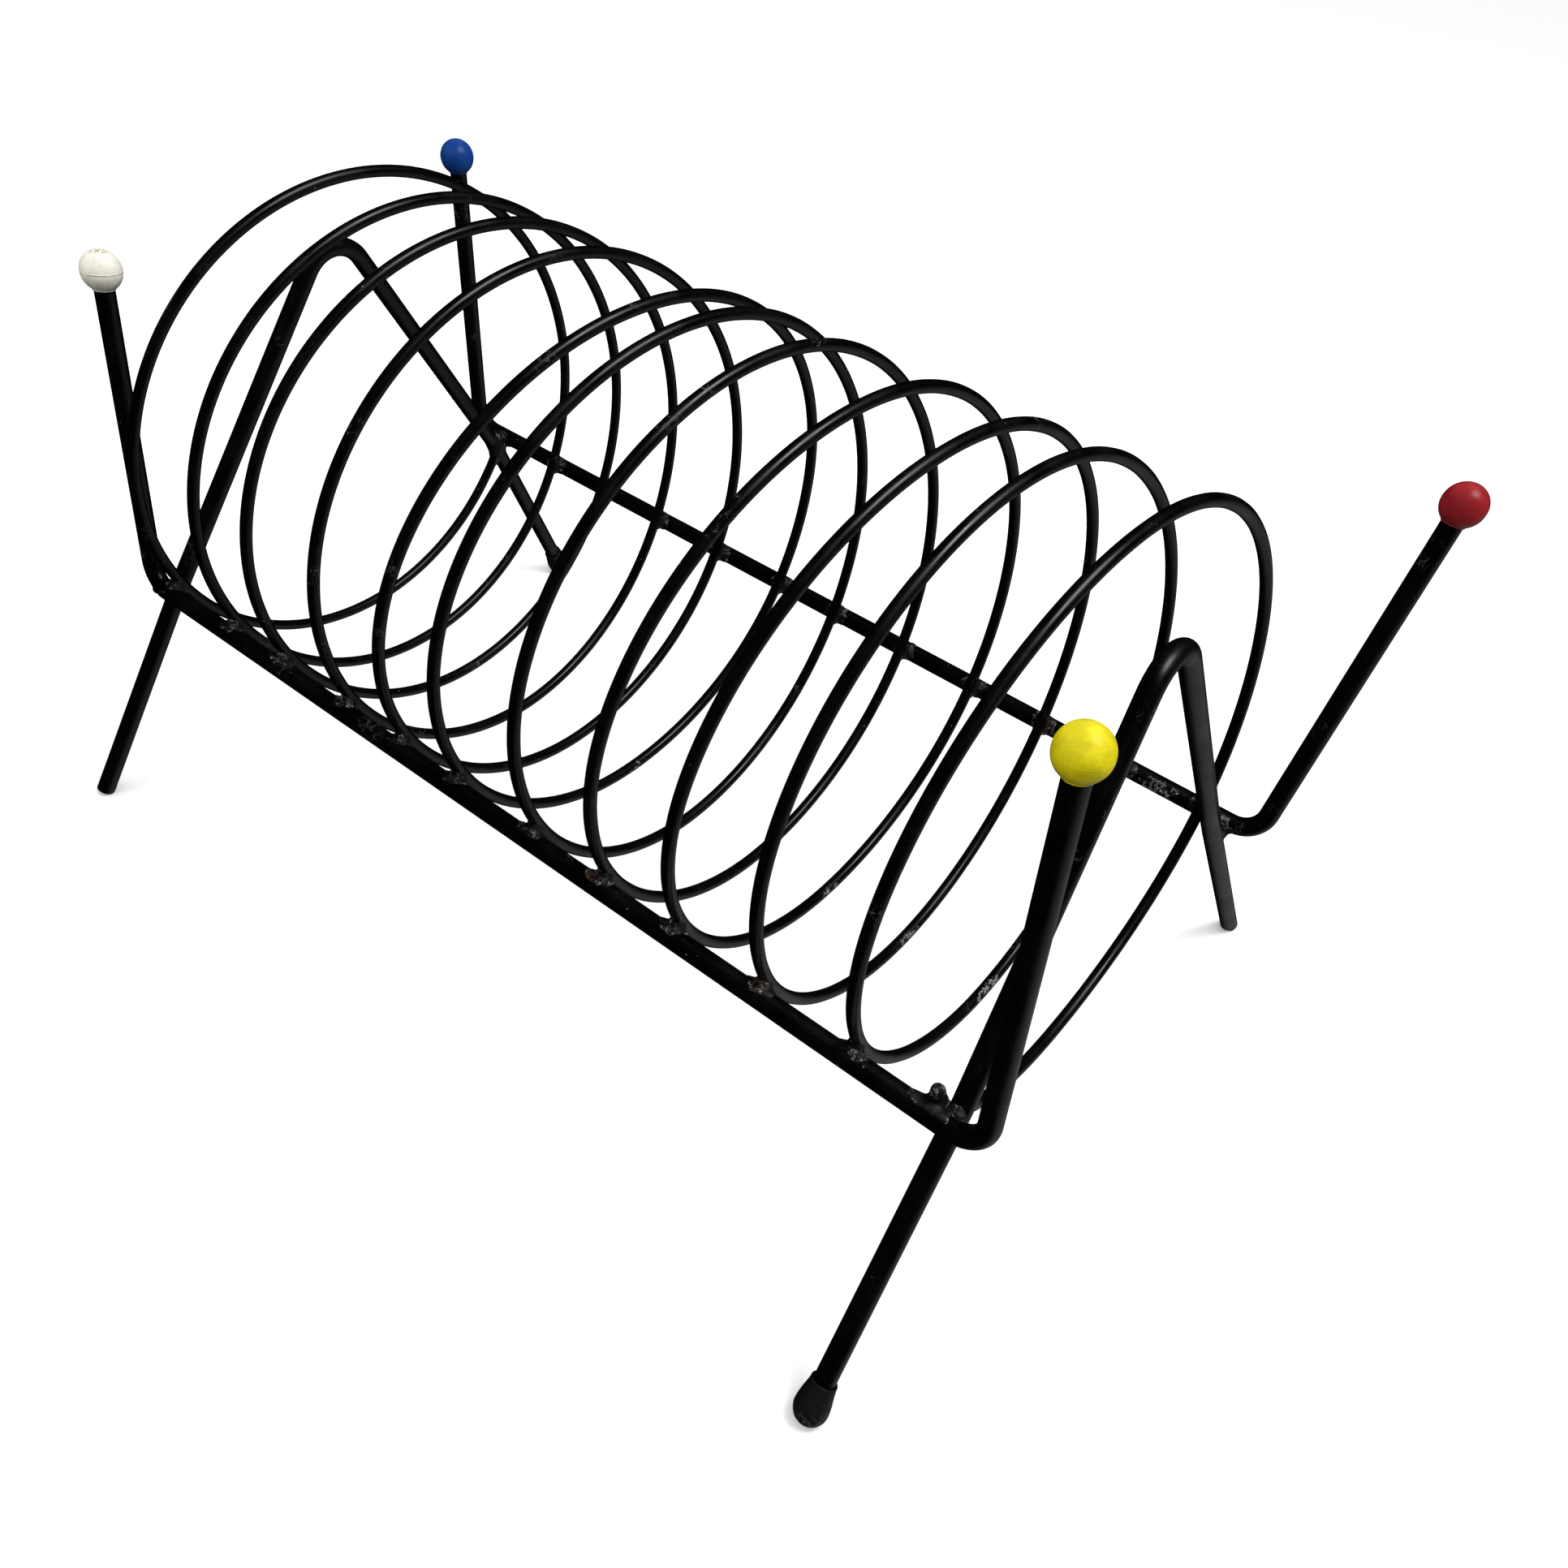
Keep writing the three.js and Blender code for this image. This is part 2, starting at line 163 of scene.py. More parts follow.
def coil_stations():
    """Two lists of stations round the coil: (travel, X) and (travel, radius).

    Travel is in degrees round the axis, from straight behind it and downwards at first."""
    places, radii = [], []
    for turn, (rear, front) in enumerate(zip(WELDS["rear"], WELDS["front"])):
        rear_angle, rear_radius = crossing("rear", rear)
        front_angle, front_radius = crossing("front", front)
        bottom = (rear + front) / 2 + BOTTOM_LEAN[turn]
        turn_places = [(rear_angle, rear), (90, bottom), (front_angle, front)]
        turn_radii = [(rear_angle, rear_radius), (90, COIL_RADIUS), (front_angle, front_radius)]
        if turn < len(TOP_LEAN):
            top = (front + WELDS["rear"][turn + 1]) / 2 + TOP_LEAN[turn]
            turn_places.append((270, top))
            turn_radii += [(FRONT_TRAVEL, FRONT_RADIUS), (270, COIL_RADIUS)]
        places += [(360 * turn + angle, place) for angle, place in turn_places]
        radii += [(360 * turn + angle, radius) for angle, radius in turn_radii]
    return np.array(places), np.array(radii)


PLACES, RADII = coil_stations()


def smooth_curve(stations, travel):
    """Values on a smooth curve through stations, its slopes by parabolas through three."""
    at, values = stations.T
    spans = np.diff(at)
    secants = np.diff(values) / spans
    slopes = np.zeros(len(at))
    slopes[1:-1] = (secants[:-1] * spans[1:] + secants[1:] * spans[:-1]) / (spans[:-1] + spans[1:])
    i = np.clip(np.searchsorted(at, travel, side="right") - 1, 0, len(spans) - 1)
    u = (travel - at[i]) / spans[i]
    from_start = (1 + 2 * u) * (1 - u) ** 2
    bow = slopes[i] * u * (1 - u) ** 2 - slopes[i + 1] * u ** 2 * (1 - u)
    return values[i] * from_start + values[i + 1] * (1 - from_start) + spans[i] * bow


def coil_line(travel):
    radius = smooth_curve(RADII, travel)
    angle = np.radians(travel)
    across = radius * np.cos(angle)
    height = COIL_HEIGHT - radius * np.sin(angle)
    return np.stack([smooth_curve(PLACES, travel), across, height], axis=1)


def rail_line(name):
    corners = rail_corners(name)
    tips = []
    for corner, ball in zip(corners, RAILS[name]["balls"].values()):
        ball = np.array(ball, float)
        tips.append(ball + unit(ball - corner) * (BALL_SEAT - CLEARANCE))
    return bent_rod([tips[0], *corners, tips[1]], [BEND_RADIUS, BEND_RADIUS])


def leg(pair, name):
    """(where a leg crosses its rail, where it meets the floor, its direction down)."""
    knee = rail_at(name, pair[name]["rail_x"])
    knee[1] -= RAILS[name]["side"] * (2 * ROD_RADIUS + CLEARANCE) / math.cos(LEG_LEAN)
    floor = np.array([*pair[name]["floor"], 0.0])
    return knee, floor, unit(floor - knee)


def sole(pair, name):
    """The closed end of a rubber foot, on the centre line of its leg."""
    _, floor, down = leg(pair, name)
    centre = floor + down * (FOOT_BULB - FLATTENED) / down[2]
    return centre + down * FOOT_BULB


def leg_end(pair, name):
    _, floor, down = leg(pair, name)
    if pair["footed"] == name:
        return sole(pair, name) - down * (FOOT_SOLE + CLEARANCE)
    height = ROD_RADIUS * math.sqrt(1 - down[2] ** 2) - BARE_END
    return floor + down * height / down[2]


def leg_line(pair):
    front_knee, rear_knee = leg(pair, "front")[0], leg(pair, "rear")[0]
    corners = [leg_end(pair, "front"), front_knee, pair["apex"], rear_knee, leg_end(pair, "rear")]
    return bent_rod(corners, [KNEE_RADIUS, APEX_RADIUS, KNEE_RADIUS])


# ---- Meshes ----

def make_piece(name, points, faces, material, slot, **attributes):
    """A smooth mesh from points in millimetres, with a value at each point for its material."""
    mesh = bpy.data.meshes.new(name)
    mesh.from_pydata((np.asarray(points) * MM).tolist(), [], faces)
    mesh.polygons.foreach_set("use_smooth", [True] * len(mesh.polygons))
    for key, values in attributes.items():
        layer = mesh.attributes.new(key, "FLOAT", "POINT")
        layer.data.foreach_set("value", np.asarray(values, dtype=np.float32))
    mesh.materials.append(material)
    mesh.update()
    piece = bpy.data.objects.new(name, mesh)
    bpy.context.scene.collection.objects.link(piece)
    return piece


def stand_for(piece, *nodes):
    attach(piece, "root")
    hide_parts(*nodes)


def carried_frames(line):
    """Unit tangent and two cross axes at each point, turning no more than the line does."""
    tangents = np.gradient(line, axis=0)
    tangents /= np.linalg.norm(tangents, axis=1, keepdims=True)
    normal = unit(np.cross(tangents[0], [0.3, 0.5, 0.8]))
    normals = []
    for tangent in tangents:
        normal = unit(normal - tangent * (normal @ tangent))
        normals.append(normal)
    normals = np.array(normals)
    return tangents, normals, np.cross(tangents, normals)


def rounded_ends(line, radius, edge, steps=5):
    """The line with its ends drawn in over a small rounded edge, and each point's radius."""
    first = unit(line[0] - line[1])
    last = unit(line[-1] - line[-2])
    angles = np.linspace(0, math.pi / 2, steps)
    inset = edge * (1 - np.sin(angles))
    shrink = radius - edge * (1 - np.cos(angles))
    head = line[0] - first * inset[:, None]
    tail = line[-1] - last * inset[:, None]
    from_head = np.linalg.norm(line - line[0], axis=1)
    from_tail = np.linalg.norm(line - line[-1], axis=1)
    middle = line[(from_head > edge) & (from_tail > edge)]
    radii = np.concatenate([shrink[::-1], np.full(len(middle), radius), shrink])
    return np.concatenate([head[::-1], middle, tail]), radii


def ring_faces(rings, sides):
    """Quads between rings of points, with a flat lid on each end."""
    faces = []
    for ring in range(rings - 1):
        for side in range(sides):
            across = (side + 1) % sides
            a, b = ring * sides + side, ring * sides + across
            faces.append((a, b, b + sides, a + sides))
    faces.append(tuple(reversed(range(sides))))
    faces.append(tuple(range((rings - 1) * sides, rings * sides)))
    return faces


def bar(line, radius, sides, edge):
    """Points, faces and outward directions of a round bar along a line."""
    line, radii = rounded_ends(line, radius, edge)
    _, normals, binormals = carried_frames(line)
    angles = np.linspace(0, 2 * math.pi, sides, endpoint=False)
    outward = (normals[:, None] * np.cos(angles)[None, :, None]
               + binormals[:, None] * np.sin(angles)[None, :, None])
    points = line[:, None] + outward * radii[:, None, None]
    return points.reshape(-1, 3), ring_faces(len(line), sides), outward.reshape(-1, 3)


def lathe(profile, sides):
    """Points and faces of a turned shape about Z. The profile runs from its top to its bottom."""
    angles = np.linspace(0, 2 * math.pi, sides, endpoint=False)
    around = np.stack([np.cos(angles), np.sin(angles)], axis=1)
    rings = [np.column_stack([around * radius, np.full(sides, height)]) for radius, height in profile]
    faces = ring_faces(len(profile), sides)
    return np.concatenate(rings), [tuple(reversed(face)) for face in faces]


# ---- Materials ----

class Nodes:
    """Short names for the commonest nodes of a tree."""

    def __init__(self, tree):
        self.tree = tree

    def add(self, kind, **settings):
        node = self.tree.nodes.new(kind)
        for key, value in settings.items():
            setattr(node, key, value)
        return node

    def put(self, socket, value):
        if isinstance(value, bpy.types.NodeSocket):
            self.tree.links.new(value, socket)
        else:
            socket.default_value = value

    def math(self, operation, a, b=0.0):
        node = self.add("ShaderNodeMath", operation=operation)
        self.put(node.inputs[0], a)
        self.put(node.inputs[1], b)
        return node.outputs[0]

    def product(self, *factors):
        result = factors[0]
        for factor in factors[1:]:
            result = self.math("MULTIPLY", result, factor)
        return result

    def span(self, value, low, high, start=0.0, end=1.0):
        """start where value is low, end where it is high, and smooth between them."""
        node = self.add("ShaderNodeMapRange", interpolation_type="SMOOTHSTEP")
        settings = {"Value": value, "From Min": low, "From Max": high, "To Min": start, "To Max": end}
        for key, setting in settings.items():
            self.put(node.inputs[key], setting)
        return node.outputs["Result"]

    def blend(self, factor, a, b):
        node = self.add("ShaderNodeMix", data_type="RGBA")
        self.put(node.inputs[0], factor)
        for socket, colour in ((node.inputs[6], a), (node.inputs[7], b)):
            self.put(socket, (*colour, 1) if isinstance(colour, tuple) else colour)
        return node.outputs[2]


class Surface(Nodes):
    """A Principled material, with noises and marks whose sizes are in millimetres."""

    def __init__(self, name):
        self.material = bpy.data.materials.new(name)
        self.material.use_nodes = True
        super().__init__(self.material.node_tree)
        self.shader = self.tree.nodes["Principled BSDF"]
        self.place = self.add("ShaderNodeTexCoord").outputs["Object"]

    def noise(self, size, detail=4.0, roughness=0.55, offset=0.0):
        """Noise whose lumps are about size millimetres across."""
        shifted = self.add("ShaderNodeVectorMath", operation="ADD")
        self.put(shifted.inputs[0], self.place)
        shifted.inputs[1].default_value = (offset, offset, offset)
        node = self.add("ShaderNodeTexNoise")
        self.put(node.inputs["Vector"], shifted.outputs[0])
        node.inputs["Scale"].default_value = 1 / (size * MM)
        node.inputs["Detail"].default_value = detail
        node.inputs["Roughness"].default_value = roughness
        return node.outputs["Fac"]

    def specks(self, size, radius):
        """1 in round specks of that radius, one to a cell of about that size."""
        node = self.add("ShaderNodeTexVoronoi")
        self.put(node.inputs["Vector"], self.place)
        node.inputs["Scale"].default_value = 1 / (size * MM)
        return self.span(node.outputs["Distance"], radius / size, radius / size * 0.5)

    def squiggles(self, size, width, offset=0.0):
        """1 along thin wandering lines: the level line of a noise."""
        level = self.math("SUBTRACT", self.noise(size, detail=3, offset=offset), 0.5)
        return self.span(self.math("ABSOLUTE", level), width, width * 0.4)

    def attribute(self, name):
        return self.add("ShaderNodeAttribute", attribute_name=name).outputs["Fac"]

    def axis(self, letter):
        split = self.add("ShaderNodeSeparateXYZ")
        self.put(split.inputs[0], self.place)
        return self.math("DIVIDE", split.outputs[letter], MM)

    def bump(self, height, depth, normal=None):
        """Raises the surface by up to depth millimetres where height is 1."""
        node = self.add("ShaderNodeBump")
        node.inputs["Strength"].default_value = 1.0
        node.inputs["Distance"].default_value = depth * MM
        self.put(node.inputs["Height"], height)
        if normal:
            self.put(node.inputs["Normal"], normal)
        return node.outputs["Normal"]

    def finish(self, **sockets):
        for key, value in sockets.items():
            socket = self.shader.inputs[key.replace("_", " ")]
            self.put(socket, (*value, 1) if isinstance(value, tuple) else value)
        return self.material


def enamel():
    """Old black enamel: an uneven sheen, dust, scratches, and chips down to steel where worn."""
    s = Surface("black_enamel")
    wear = s.attribute("wear")
    cloud = s.noise(14, detail=3)
    skin = s.noise(0.9, detail=3)
    flakes = s.noise(1.5, detail=7, roughness=0.7, offset=3.1)
    threshold = s.span(wear, 0.0, 1.0, start=0.90, end=0.47)
    excess = s.math("SUBTRACT", flakes, threshold)
    chipped = s.span(excess, 0.0, 0.03)
    scuffed = s.span(excess, -0.07, 0.02)
    dust = s.product(s.specks(4.0, 0.3), s.span(s.noise(9, offset=7.7), 0.52, 0.58))
    here_and_there = s.span(s.noise(16, offset=9.1), 0.60, 0.66)
    scratch = s.product(s.squiggles(2.6, 0.012, offset=4.4), here_and_there)
    black = s.blend(cloud, (0.0002, 0.0002, 0.0002), (0.0010, 0.0010, 0.0010))
    crumbs = s.span(s.noise(0.45, detail=5, roughness=0.6, offset=1.3), 0.44, 0.60)
    steel = s.blend(crumbs, (0.020, 0.019, 0.017), (0.42, 0.42, 0.40))
    powder = s.span(s.noise(0.5, detail=6, roughness=0.7, offset=2.6), 0.50, 0.70)
    film = s.product(powder, s.span(cloud, 0.42, 0.60))
    black = s.blend(film, black, (0.009, 0.009, 0.0085))
    colour = s.blend(s.math("MULTIPLY", scuffed, 0.6), black, (0.030, 0.026, 0.022))
    colour = s.blend(chipped, colour, steel)
    colour = s.blend(s.math("MULTIPLY", dust, 0.5), colour, (0.26, 0.25, 0.22))
    colour = s.blend(s.math("MULTIPLY", scratch, 0.35), colour, (0.22, 0.22, 0.20))
    rough = s.span(cloud, 0.35, 0.65, start=0.26, end=0.38)
    rough = s.math("ADD", rough, s.math("MULTIPLY", scuffed, 0.25))
    surface = s.bump(skin, 0.014)
    surface = s.bump(s.math("SUBTRACT", 1.0, chipped), 0.08, surface)
    return s.finish(Base_Color=colour, Roughness=rough, Normal=surface, Specular_IOR_Level=0.42)


def weld_enamel():
    """Enamel over a rough bead: pitted and dull, with painted glints of highlight and crumbs of bare
    metal along its ragged rim, and a little rust.
    """
    s = Surface("weld_enamel")
    rim = s.attribute("rim")
    lumps = s.noise(1.1, detail=6, roughness=0.65)
    grain = s.noise(0.35, detail=4, offset=2.2)
    rusty = s.span(s.noise(11, detail=2, offset=5.0), 0.62, 0.70)
    some = s.span(s.noise(2.4, detail=2, offset=1.0), 0.47, 0.60)
    lines = s.product(s.squiggles(2.2, 0.022, offset=8.0), some)
    crumbs = s.product(s.span(s.noise(0.5, detail=5, roughness=0.7, offset=6.0), 0.56, 0.64), some)
    # Silvery squiggles and crumbs along the ragged rim: painted glints of highlight, with some crumbs
    # of bare metal showing through.
    painted_glints_and_crumbs = s.math("MULTIPLY", s.math("MAXIMUM", lines, s.math("MULTIPLY", crumbs, 0.5)), rim)
    colour = s.blend(lumps, (0.0006, 0.0006, 0.0006), (0.006, 0.0056, 0.005))
    rust = s.math("MULTIPLY", rusty, s.span(lumps, 0.42, 0.58))
    colour = s.blend(rust, colour, (0.040, 0.018, 0.009))
    colour = s.blend(s.math("MULTIPLY", painted_glints_and_crumbs, 0.85), colour, (0.34, 0.34, 0.32))
    surface = s.bump(lumps, 0.22)
    surface = s.bump(grain, 0.05, surface)
    rough = s.span(grain, 0.3, 0.7, start=0.36, end=0.60)
    return s.finish(Base_Color=colour, Roughness=rough, Normal=surface)


def ball_plastic(name, colour, shadow, grime_and_shade, roughness):
    """Moulded plastic with dirt in its seam and on its crown, and grey smudges on its lower half that
    are partly dirt and partly painted shade. Height is along the stem.
    """
    s = Surface(f"ball_{name}")
    height = s.attribute("height")
    mottle = s.noise(5, detail=4)
    grain = s.noise(0.4, detail=3, offset=5.0)
    shade = s.blend(s.span(mottle, 0.35, 0.65), shadow, colour)
    shade = s.blend(s.span(grain, 0.40, 0.66, end=0.35), shade, shadow)
    seam = s.span(s.math("ABSOLUTE", s.math("SUBTRACT", height, -0.2)), 0.24, 0.06)
    dirty_seam = s.product(seam, s.span(s.noise(1.6, detail=5, offset=4.0), 0.36, 0.56))
    smudges = s.span(s.noise(2.4, detail=5, offset=9.0), 0.25, 0.60)
    # Grey smudges toward the stem, over the ball's lower half: partly dirt, partly painted shade where
    # the underside is turned from the light.
    low_dirt_and_shade = s.product(s.span(height, 0.5, -5.0), smudges)
    scuffs = s.span(s.noise(0.8, detail=6, roughness=0.7, offset=2.0), 0.42, 0.56)
    crown = s.product(s.span(height, 4.9, 5.8), scuffs)
    here_and_there = s.span(s.noise(3.5, offset=6.0), 0.50, 0.57)
    pits = s.product(s.span(s.noise(0.5, detail=4, offset=12.0), 0.66, 0.70), here_and_there)
    tan, soot = (0.27, 0.20, 0.11), (0.06, 0.05, 0.035)
    # The lower half's smudges, in grey: dirt and painted shade together.
    shade = s.blend(s.math("MULTIPLY", low_dirt_and_shade, grime_and_shade * 0.6), shade, (0.28, 0.27, 0.23))
    shade = s.blend(s.math("MULTIPLY", crown, grime_and_shade * 0.9), shade, tan)
    shade = s.blend(s.math("MULTIPLY", dirty_seam, grime_and_shade * 0.75), shade, tan)
    shade = s.blend(s.math("MULTIPLY", pits, grime_and_shade * 0.8), shade, soot)
    rough = s.span(mottle, 0.3, 0.7, start=roughness, end=roughness + 0.12)
    surface = s.bump(grain, 0.012)
    surface = s.bump(s.math("SUBTRACT", 1.0, pits), 0.05, surface)
    return s.finish(Base_Color=shade, Roughness=rough, Normal=surface, Specular_IOR_Level=0.25)


def rubber():
    """Perished black rubber with dust caught in its lower half."""
    s = Surface("foot_rubber")
    height = s.axis("Z")
    grain = s.noise(0.7, detail=6, roughness=0.65)
    patches = s.span(s.noise(1.1, detail=6, roughness=0.65, offset=3.0), 0.48, 0.62)
    dust = s.product(s.span(height, 8.0, 1.0), patches)
    colour = s.blend(grain, (0.0015, 0.0015, 0.0015), (0.008, 0.008, 0.0075))
    colour = s.blend(s.math("MULTIPLY", dust, 0.75), colour, (0.20, 0.195, 0.18))
    rough = s.span(grain, 0.3, 0.7, start=0.42, end=0.66)
    return s.finish(Base_Color=colour, Roughness=rough, Normal=s.bump(grain, 0.07))


# ---- Rods and wire ----

def ramp(values, low, high):
    """0 below low, 1 above high, and smooth between them."""
    u = np.clip((values - low) / (high - low), 0, 1)
    return u * u * (3 - 2 * u)


def near(values, centre, reach):
    """1 at the centre, falling smoothly to nothing a few times its reach away."""
    return np.exp(-((values - centre) / reach) ** 2)


def coil_wear(points, outward):
    """Wear at the bottom of the worn turns, on the side that things lean against."""
    leant_on = np.clip(0.35 + 0.6 * outward[:, 0] + 0.25 * outward[:, 2], 0, 1)
    wear = np.zeros(len(points))
    for turn, amount in WORN_TURNS.items():
        bottom = PLACES[4 * turn + 1, 1]
        here = (points[:, 2] < 45) & (np.abs(points[:, 0] - bottom) < 9)
        wear = np.where(here, amount * near(points[:, 1], 3.0, 8.0) * leant_on, wear)
    return wear


def rail_wear(name, points, outward):
    """Wear beside each crossing, and along the inside of the rear rail near its right end."""
    wear = np.zeros(len(points))
    for x in WELDS[name]:
        wear = np.maximum(wear, 0.55 * near(points[:, 0], x, 5.0))
    if name == "rear":
        scraped = 0.85 * near(points[:, 0], 140, 13) * np.clip(0.4 - outward[:, 1], 0, 1)
        wear = np.maximum(wear, scraped)
    return np.where(points[:, 2] < 84, wear, 0)


def make_coil(material):
    start = PLACES[0, 0] + WIRE_START - WIRE_SUNK
    end = PLACES[-1, 0] + WIRE_END
    line = coil_line(np.linspace(start, end, COIL_STEPS))
    points, faces, outward = bar(line, WIRE_RADIUS, WIRE_SIDES, edge=1.0)
    wear = coil_wear(points, outward)
    piece = make_piece("coil_wire", points, faces, material, "black_enamel", wear=wear)
    stand_for(piece, "coil")


def make_rail(name, material):
    points, faces, outward = bar(rail_line(name), ROD_RADIUS, ROD_SIDES, edge=0.4)
    wear = rail_wear(name, points, outward)
    piece = make_piece(f"{name}_rail_rod", points, faces, material, "black_enamel", wear=wear)
    stand_for(piece, f"{name}_rail")


def make_legs(name, material):
    points, faces, _ = bar(leg_line(LEGS[name]), ROD_RADIUS, ROD_SIDES, edge=0.6)
    points[:, 2] = np.maximum(points[:, 2], 0)
    wear = 0.8 * near(points[:, 2], 0, 3.0)
    piece = make_piece(f"{name}_leg_rod", points, faces, material, "black_enamel", wear=wear)
    stand_for(piece, f"{name}_legs")


# ---- Balls and feet ----

def arc(centre, radius, start, end, steps):
    """(radius, height) points of a circular arc, by angle from straight up."""
    angles = np.radians(np.linspace(start, end, steps))
    return [(centre[0] + radius * math.sin(a), centre[1] + radius * math.cos(a)) for a in angles]


def ball_profile(ridge):
    """A ball with a moulding nick on top, a seam raised by ridge, and a conical neck."""
    body = BALL_RADIUS - ridge
    nick = [(0.05, body - 0.16), (0.22, body - 0.15), (0.42, body - 0.05)]
    upper = arc((0, 0), body, 6, 90, 30)
    seam = [(BALL_RADIUS, -0.06), (BALL_RADIUS, -0.16), (body, -0.22)]
    lower = [(radius, height - 0.22) for radius, height in arc((0, 0), body, 92, 143, 18)]
    neck = arc((ROD_RADIUS + 0.12, -5.30), 0.25, 60, 180, 6)
    inside = [(ROD_RADIUS - SNUG, -5.55), (ROD_RADIUS - SNUG, -5.2), (0.05, -5.2)]
    return nick + upper + seam + lower + neck + inside


def make_ball(rail_name, end, colour, ridge, material):
    corner = Vector(rail_corners(rail_name)[end])
    centre = Vector(RAILS[rail_name]["balls"][colour])
    points, faces = lathe(ball_profile(ridge), BALL_SIDES)
    height = points[:, 2].copy()
    place = Matrix.Translation(centre) @ (centre - corner).to_track_quat("Z", "Y").to_matrix().to_4x4()
    placed = []
    for point in points:
        dent = 1 - 0.012 * abs(noise.noise(Vector(point) * 0.22 + centre))
        placed.append(place @ Vector((point[0] * dent, point[1] * dent, point[2])))
    name = f"{colour}_moulded_ball"
    piece = make_piece(name, placed, faces, material, f"ball_{colour}", height=height)
    stand_for(piece, f"{colour}_ball")


def foot_profile():
    """A rounded bulb that narrows smoothly to a sleeve with a thin edge."""
    bulb = arc((0, FOOT_BULB), FOOT_BULB, 179, 92, 18)
    sides = [(4.72, 6.2), (4.50, 7.6), (4.24, 9.0), (4.00, 10.2), (3.82, 11.2), (3.72, 12.1)]
    edge = arc((FOOT_RIM, FOOT_LENGTH - 0.25), 0.22, 90, 0, 5) + [(3.3, FOOT_LENGTH - 0.05)]
    bore = ROD_RADIUS - SNUG
    inside = [(bore, FOOT_LENGTH - 0.3), (bore, FOOT_LENGTH - 2), (0.05, FOOT_LENGTH - 2)]
    return bulb + sides + edge + inside


def make_foot(name, material):
    pair = LEGS[name]
    down = Vector(leg(pair, pair["footed"])[2])
    points, faces = lathe(foot_profile(), FOOT_SIDES)
    faces = [tuple(reversed(face)) for face in faces]
    turn = (-down).to_track_quat("Z", "Y").to_matrix().to_4x4()
    place = Matrix.Translation(Vector(sole(pair, pair["footed"]))) @ turn
    placed = []
    for point in points:
        slump = 1 - 0.035 * abs(noise.noise(Vector(point) * 0.28))
        tear = 0.9 * abs(noise.noise(Vector((point[0], point[1], 0)) * 0.55))
        ragged = tear * ramp(point[2], 10.0, 12.6)
        spot = place @ Vector((point[0] * slump, point[1] * slump, point[2] - ragged))
        placed.append((spot.x, spot.y, max(spot.z, 0)))
    piece = make_piece(f"{name}_rubber_foot", placed, faces, material, "foot_rubber")
    stand_for(piece, f"{name}_{pair['footed']}_foot")


# ---- Welds ----

def sphere_directions(detail):
    """Unit directions and faces of a finely divided icosphere."""
    ball = bmesh.new()
    bmesh.ops.create_icosphere(ball, subdivisions=detail, radius=1)
    directions = np.array([vertex.co[:] for vertex in ball.verts])
    faces = [tuple(vertex.index for vertex in face.verts) for face in ball.faces]
    ball.free()
    return directions, faces


WELD_DIRECTIONS, WELD_FACES = sphere_directions(5)
WELD_DEPTH = 3.6                # how far a bead reaches back round its rail
CORNER_FILL = 3.4               # how far from both bars the corner between them is filled
HANG = 0.65                     # the wire's first bead hangs this far toward its start

# How far a bead spreads, and how far it climbs off its rail.
WIRE_BEAD = (5.4, 3.4)
END_BEAD = (7.6, 9.0)           # the last one covers the wire's end
HANGING_BEAD = (7.0, 4.6)
LEG_BEAD = (5.6, 4.2)


def evened(values, rounds=3):
    """Each value drawn toward the mean of its neighbours on the icosphere."""
    corners = np.array(WELD_FACES)
    ends = np.concatenate([corners[:, [0, 1]], corners[:, [1, 2]], corners[:, [2, 0]]])
    count = np.bincount(ends[:, 0], minlength=len(values))
    for _ in range(rounds):
        mean = np.bincount(ends[:, 0], weights=values[ends[:, 1]], minlength=len(values)) / count
        values = (values + mean) / 2
    return values


def outside_bar(points, middle, along, radius):
    """How far points are outside a straight round bar."""
    offset = points - middle
    return np.linalg.norm(offset - (offset @ along)[..., None] * along, axis=-1) - radius


def smooth_least(a, b, reach):
    """The lesser of two distances, rounded off where they are alike: it fills a corner."""
    fill = np.maximum(reach - np.abs(a - b), 0) / reach
    return np.minimum(a, b) - fill ** 2 * reach / 4


def lumpiness(scale, offset):
    """A noise over the directions of a bead."""
    values = [noise.noise(Vector(d) * scale + Vector(offset)) for d in WELD_DIRECTIONS]
    return np.array(values)


def weld_points(centre, inward, bars, reach, climb, seed):
    """A lumpy bead on the inward side of two crossing bars, and how near each point is to
    its ragged rim. Each direction grows until it leaves the corner between the bars."""
    coarse = lumpiness(1.9, (seed, 0, 0))
    fine = lumpiness(6.0, (0, seed, 0))
    edge = reach * (1 + 0.35 * coarse + 0.12 * fine)
    distance = np.full(len(WELD_DIRECTIONS), 0.3)
    growing = np.ones(len(WELD_DIRECTIONS), bool)
    for step in np.arange(0.3, reach * 1.4, 0.05):
        points = centre + WELD_DIRECTIONS * step
        from_rail, from_other = (outside_bar(points, *each) for each in bars)
        corner = smooth_least(from_rail, from_other, CORNER_FILL)
        corner += 0.6 * ramp(from_rail, climb - 2.2, climb)
        out = step / edge
        rim = np.exp(-((out - 0.78) / 0.13) ** 2)
        skin = 0.10 + 0.18 * coarse + 0.14 * fine + rim * (0.12 + 0.25 * fine)
        skin -= 1.1 * ramp(out, 0.84, 1.0)
        growing &= (corner < skin) & (step < edge) & ((points - centre) @ inward > -WELD_DEPTH)
        distance = np.where(growing, step, distance)
    distance = evened(distance)
    return centre + WELD_DIRECTIONS * distance[:, None], ramp(distance / edge, 0.5, 0.8)


def make_weld(node, rail_centre, inward, bars, bead, seed, material):
    centre = rail_centre + inward * (ROD_RADIUS + CLEARANCE / 2)
    points, rim = weld_points(centre, inward, bars, *bead, seed)
    piece = make_piece(f"{node}_bead", points, WELD_FACES, material, "weld_enamel", rim=rim)
    stand_for(piece, node)


